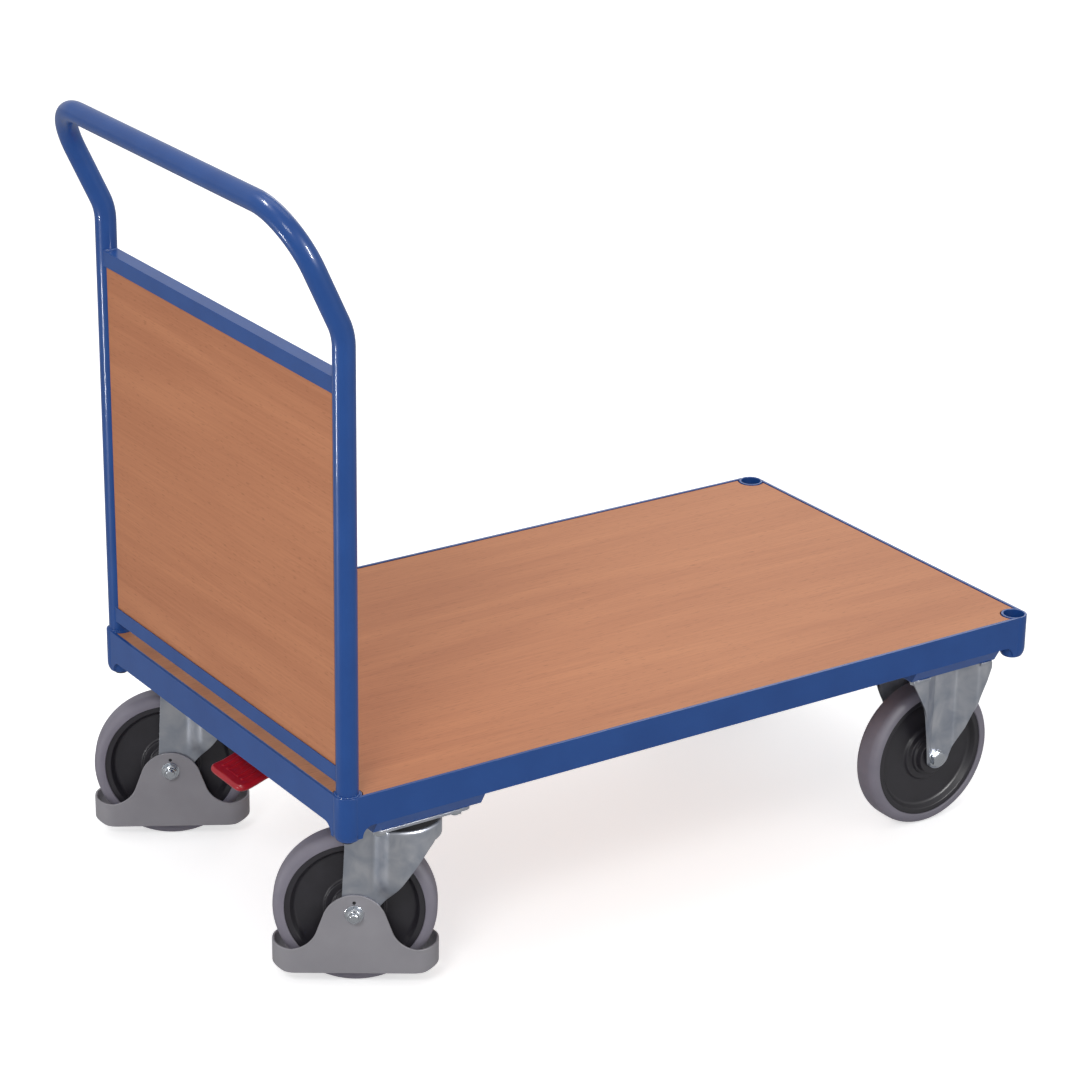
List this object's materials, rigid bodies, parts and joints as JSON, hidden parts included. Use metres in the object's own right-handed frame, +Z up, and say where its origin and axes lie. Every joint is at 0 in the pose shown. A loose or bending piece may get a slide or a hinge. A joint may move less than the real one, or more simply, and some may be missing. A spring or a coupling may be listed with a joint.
{
  "type": "platform trolley",
  "caption": "Flat deck trolley with bent tube push handle, wooden end panel, fixed and swivel casters, foot guards and a central brake pedal.",
  "frame": {"origin": "on the floor, in the middle of the overall box's bottom", "axes": "+X from the push handle to the front of the deck, +Y to the trolley's left, +Z up"},
  "size_m": [1.1168, 0.6375, 1.0148],
  "materials": {
    "blue_powder_coat": "smooth glossy powder coat",
    "deck_wood": "clear lacquered beech-faced board",
    "panel_wood": "clear lacquered beech-faced board",
    "black_screws": "black oxide",
    "zinc_plate": "bright zinc plating on pressed sheet",
    "zinc_fasteners": "bright zinc plating",
    "rim_plastic": "dark grey moulded polypropylene",
    "tyre_grey": "grey non-marking thermoplastic rubber",
    "bearing_plastic": "black bearing bush",
    "guard_grey": "grey moulded polyamide",
    "pedal_red": "red moulded plastic"
  },
  "bodies": {
    "frame": {"side_rail_left": "blue_powder_coat", "side_rail_right": "blue_powder_coat", "front_rail": "blue_powder_coat", "rear_rail": "blue_powder_coat", "front_socket_left": "blue_powder_coat", "front_socket_right": "blue_powder_coat", "rear_socket_left": "blue_powder_coat", "rear_socket_right": "blue_powder_coat", "front_cross_member": "blue_powder_coat", "rear_cross_member": "blue_powder_coat", "deck_board": "deck_wood", "board_screws": "zinc_fasteners", "handle_tube": "blue_powder_coat", "handle_screws": "black_screws", "panel_top_rail": "blue_powder_coat", "panel_bottom_rail": "blue_powder_coat", "end_panel": "panel_wood", "fixed_fork_left": "zinc_plate", "fixed_fork_right": "zinc_plate", "fixed_axle_sleeves": "zinc_fasteners", "fixed_axle_bolts": "zinc_fasteners", "fixed_axle_nuts": "zinc_fasteners", "swivel_plate_left": "zinc_plate", "swivel_plate_right": "zinc_plate", "kingpin_left": "zinc_plate", "kingpin_right": "zinc_plate", "caster_plate_bolts": "zinc_fasteners", "caster_plate_nuts": "zinc_fasteners", "shaft_brackets": "blue_powder_coat"},
    "front_left_wheel": {"front_left_rim": "rim_plastic", "front_left_tyre": "tyre_grey", "front_left_bearing": "bearing_plastic"},
    "front_right_wheel": {"front_right_rim": "rim_plastic", "front_right_tyre": "tyre_grey", "front_right_bearing": "bearing_plastic"},
    "rear_left_wheel": {"rear_left_rim": "rim_plastic", "rear_left_tyre": "tyre_grey", "rear_left_bearing": "bearing_plastic"},
    "rear_right_wheel": {"rear_right_rim": "rim_plastic", "rear_right_tyre": "tyre_grey", "rear_right_bearing": "bearing_plastic"},
    "rear_left_caster": {"swivel_fork_left": "zinc_plate", "axle_sleeve_left": "zinc_fasteners", "axle_bolt_left": "zinc_fasteners", "axle_nut_left": "zinc_fasteners", "foot_guard_left": "guard_grey", "swivel_balls_left": "zinc_fasteners"},
    "left_plunger": {"brake_plunger_left": "zinc_plate"},
    "rear_right_caster": {"swivel_fork_right": "zinc_plate", "axle_sleeve_right": "zinc_fasteners", "axle_bolt_right": "zinc_fasteners", "axle_nut_right": "zinc_fasteners", "foot_guard_right": "guard_grey", "swivel_balls_right": "zinc_fasteners"},
    "right_plunger": {"brake_plunger_right": "zinc_plate"},
    "brake_lever": {"brake_shaft": "zinc_plate", "brake_cams": "zinc_plate", "pedal_arm": "zinc_plate", "brake_pedal": "pedal_red"}
  },
  "joints": [
    {"name": "front_left_roll", "type": "hinge", "parent": "frame", "child": "front_left_wheel", "pos_m": [0.441, 0.2232, 0.1], "axis": [0, 1, 0], "continuous": true},
    {"name": "front_right_roll", "type": "hinge", "parent": "frame", "child": "front_right_wheel", "pos_m": [0.441, -0.2498, 0.1], "axis": [0, 1, 0], "continuous": true},
    {"name": "rear_left_swivel", "type": "hinge", "parent": "frame", "child": "rear_left_caster", "pos_m": [-0.3734, 0.2232, 0.225], "axis": [0, 0, 1], "continuous": true},
    {"name": "rear_left_roll", "type": "hinge", "parent": "rear_left_caster", "child": "rear_left_wheel", "pos_m": [-0.42103, 0.2507, 0.1], "axis": [0.5, 0.866, 0], "continuous": true},
    {"name": "left_plunger_slide", "type": "slide", "parent": "rear_left_caster", "child": "left_plunger", "axis": [0, 0, -1], "range_m": [0, 0.00533]},
    {"name": "rear_right_swivel", "type": "hinge", "parent": "frame", "child": "rear_right_caster", "pos_m": [-0.3734, -0.2498, 0.225], "axis": [0, 0, 1], "continuous": true},
    {"name": "rear_right_roll", "type": "hinge", "parent": "rear_right_caster", "child": "rear_right_wheel", "pos_m": [-0.41953, -0.21985, 0.1], "axis": [0.5446, 0.8387, 0], "continuous": true},
    {"name": "right_plunger_slide", "type": "slide", "parent": "rear_right_caster", "child": "right_plunger", "axis": [0, 0, -1], "range_m": [0, 0.00533]},
    {"name": "pedal_hinge", "type": "hinge", "parent": "frame", "child": "brake_lever", "pos_m": [-0.3514, -0.0133, 0.262], "axis": [0, -1, 0], "range_deg": [0, 14]}
  ],
  "couplings": [
    {"joint": "left_plunger_slide", "follows": "pedal_hinge", "m_per_rad": 0.021782},
    {"joint": "right_plunger_slide", "follows": "pedal_hinge", "m_per_rad": 0.021782}
  ]
}
